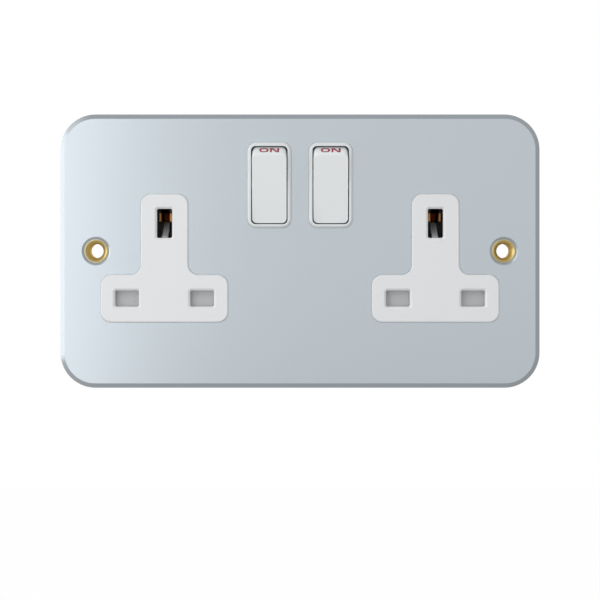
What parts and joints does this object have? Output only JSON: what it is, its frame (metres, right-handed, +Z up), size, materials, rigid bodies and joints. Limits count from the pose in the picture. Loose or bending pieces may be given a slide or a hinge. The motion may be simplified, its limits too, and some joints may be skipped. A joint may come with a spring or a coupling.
{
  "type": "twin switched socket outlet",
  "caption": "Metal-clad twin switched wall socket with shuttered flat-pin apertures, rockers in white frames and brass-lined fixing holes in a painted steel plate.",
  "frame": {"origin": "midway between the centres of the two fixing holes, in the plane of the plate's rear rim", "axes": "-Y out of the face towards the user, +X to the right along the plate, +Z up"},
  "size_m": [0.142, 0.0278, 0.081],
  "materials": {
    "plate_paint": "satin silver-grey paint",
    "white_moulding": "gloss white",
    "white_rocker": "gloss white",
    "housing_plastic": "matt off-white",
    "shutter_plastic": "matt light grey",
    "plunger_plastic": "matt natural nylon",
    "spring_steel": "drawn wire",
    "eyelet_brass": "bright",
    "contact_brass": "mill finish",
    "silver": "bright silver",
    "screw_steel": "zinc plated"
  },
  "bodies": {
    "socket": {"earth_bar": "contact_brass", "eyelet_left": "eyelet_brass", "eyelet_right": "eyelet_brass", "fixed_tip_left": "silver", "fixed_tip_right": "silver", "front_plate": "plate_paint", "housing_screw_1": "screw_steel", "housing_screw_2": "screw_steel", "housing_screw_3": "screw_steel", "housing_screw_4": "screw_steel", "live_contact_left": "contact_brass", "live_contact_right": "contact_brass", "live_feed_bar": "contact_brass", "live_link_left": "contact_brass", "live_link_right": "contact_brass", "neutral_bar": "contact_brass", "neutral_contact_left": "contact_brass", "neutral_contact_right": "contact_brass", "outlet_moulding_left": "white_moulding", "outlet_moulding_right": "white_moulding", "rear_housing": "housing_plastic", "shutter_spring_left": "spring_steel", "shutter_spring_right": "spring_steel", "switch_moulding": "white_moulding", "terminal_earth_left": "contact_brass", "terminal_earth_left_screw": "screw_steel", "terminal_earth_right": "contact_brass", "terminal_earth_right_screw": "screw_steel", "terminal_live": "contact_brass", "terminal_live_screw": "screw_steel", "terminal_neutral": "contact_brass", "terminal_neutral_screw": "screw_steel"},
    "rocker_left": {"rocker_left": "white_rocker", "plunger_spring_left": "spring_steel"},
    "plunger_left": {"plunger_left": "plunger_plastic"},
    "seesaw_left": {"seesaw_left": "contact_brass", "moving_tip_left": "silver"},
    "shutter_left": {"shutter_left": "shutter_plastic"},
    "rocker_right": {"rocker_right": "white_rocker", "plunger_spring_right": "spring_steel"},
    "plunger_right": {"plunger_right": "plunger_plastic"},
    "seesaw_right": {"seesaw_right": "contact_brass", "moving_tip_right": "silver"},
    "shutter_right": {"shutter_right": "shutter_plastic"}
  },
  "joints": [
    {"name": "rocker_tilt_left", "type": "hinge", "parent": "socket", "child": "rocker_left", "pos_m": [-0.00907, -0.0045, 0.0195], "axis": [1, 0, 0], "range_deg": [-16, 0]},
    {"name": "plunger_slide_left", "type": "slide", "parent": "rocker_left", "child": "plunger_left", "axis": [0, -0.9903, -0.1392], "range_m": [0, 0.0008], "stiffness_N_per_m": 400, "springref_m": -0.002, "deforming": ["plunger_spring_left"]},
    {"name": "seesaw_tilt_left", "type": "hinge", "parent": "socket", "child": "seesaw_left", "pos_m": [-0.00907, 0.0107, 0.0195], "axis": [1, 0, 0], "range_deg": [0, 20]},
    {"name": "shutter_slide_left", "type": "slide", "parent": "socket", "child": "shutter_left", "axis": [0, 0, -1], "range_m": [0, 0.0048], "stiffness_N_per_m": 150, "springref_m": -0.004, "deforming": ["shutter_spring_left"]},
    {"name": "rocker_tilt_right", "type": "hinge", "parent": "socket", "child": "rocker_right", "pos_m": [0.00907, -0.0045, 0.0195], "axis": [1, 0, 0], "range_deg": [-16, 0]},
    {"name": "plunger_slide_right", "type": "slide", "parent": "rocker_right", "child": "plunger_right", "axis": [0, -0.9903, -0.1392], "range_m": [0, 0.0008], "stiffness_N_per_m": 400, "springref_m": -0.002, "deforming": ["plunger_spring_right"]},
    {"name": "seesaw_tilt_right", "type": "hinge", "parent": "socket", "child": "seesaw_right", "pos_m": [0.00907, 0.0107, 0.0195], "axis": [1, 0, 0], "range_deg": [0, 20]},
    {"name": "shutter_slide_right", "type": "slide", "parent": "socket", "child": "shutter_right", "axis": [0, 0, -1], "range_m": [0, 0.0048], "stiffness_N_per_m": 150, "springref_m": -0.004, "deforming": ["shutter_spring_right"]}
  ],
  "couplings": [
    {"joint": "seesaw_tilt_left", "follows": "rocker_tilt_left", "ratio": -1.25},
    {"joint": "seesaw_tilt_right", "follows": "rocker_tilt_right", "ratio": -1.25}
  ]
}
